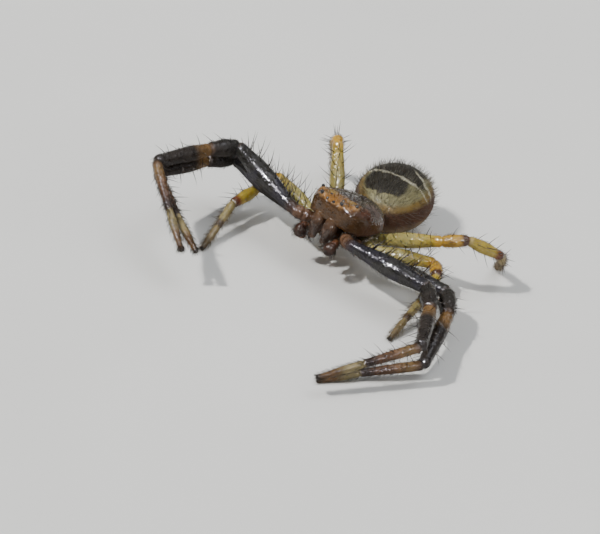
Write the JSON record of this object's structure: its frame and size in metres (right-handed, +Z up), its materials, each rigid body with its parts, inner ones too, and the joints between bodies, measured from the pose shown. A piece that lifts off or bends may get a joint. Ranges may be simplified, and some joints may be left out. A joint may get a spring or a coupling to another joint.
{
  "type": "crab spider",
  "caption": "Life-size still model of a male crab spider, its long front legs held out to the sides and forward, its short hind legs on the floor.",
  "frame": {"origin": "on the floor, under the middle of the box that the stance fills", "axes": "+Z up, the head looks along -Y, the spider's left side is +X"},
  "size_m": [0.0094, 0.0082, 0.0026],
  "materials": {
    "carapace": "gloss",
    "sternum": "satin",
    "abdomen": "satin",
    "spinnerets": "matte",
    "chelicera": "gloss",
    "palp": "gloss",
    "eye": "polished",
    "black_leg": "gloss",
    "brown_leg": "satin",
    "yellow_leg": "satin"
  },
  "bodies": {
    "root": {"abdomen": "abdomen", "carapace": "carapace", "chelicera_left": "chelicera", "chelicera_right": "chelicera", "eye_front_middle_left": "eye", "eye_front_middle_right": "eye", "eye_front_side_left": "eye", "eye_front_side_right": "eye", "eye_rear_middle_left": "eye", "eye_rear_middle_right": "eye", "eye_rear_side_left": "eye", "eye_rear_side_right": "eye", "leg_1_left_femur": "black_leg", "leg_1_left_metatarsus": "brown_leg", "leg_1_left_patella": "black_leg", "leg_1_left_tarsus": "brown_leg", "leg_1_left_tibia": "black_leg", "leg_1_right_femur": "black_leg", "leg_1_right_metatarsus": "brown_leg", "leg_1_right_patella": "black_leg", "leg_1_right_tarsus": "brown_leg", "leg_1_right_tibia": "black_leg", "leg_2_left_femur": "black_leg", "leg_2_left_metatarsus": "brown_leg", "leg_2_left_patella": "black_leg", "leg_2_left_tarsus": "brown_leg", "leg_2_left_tibia": "black_leg", "leg_2_right_femur": "black_leg", "leg_2_right_metatarsus": "brown_leg", "leg_2_right_patella": "black_leg", "leg_2_right_tarsus": "brown_leg", "leg_2_right_tibia": "black_leg", "leg_3_left_femur": "yellow_leg", "leg_3_left_metatarsus": "yellow_leg", "leg_3_left_patella": "yellow_leg", "leg_3_left_tarsus": "yellow_leg", "leg_3_left_tibia": "yellow_leg", "leg_3_right_femur": "yellow_leg", "leg_3_right_metatarsus": "yellow_leg", "leg_3_right_patella": "yellow_leg", "leg_3_right_tarsus": "yellow_leg", "leg_3_right_tibia": "yellow_leg", "leg_4_left_femur": "yellow_leg", "leg_4_left_metatarsus": "yellow_leg", "leg_4_left_patella": "yellow_leg", "leg_4_left_tarsus": "yellow_leg", "leg_4_left_tibia": "yellow_leg", "leg_4_right_femur": "yellow_leg", "leg_4_right_metatarsus": "yellow_leg", "leg_4_right_patella": "yellow_leg", "leg_4_right_tarsus": "yellow_leg", "leg_4_right_tibia": "yellow_leg", "palp_left": "palp", "palp_right": "palp", "spinnerets": "spinnerets", "sternum": "sternum"}
  },
  "joints": []
}
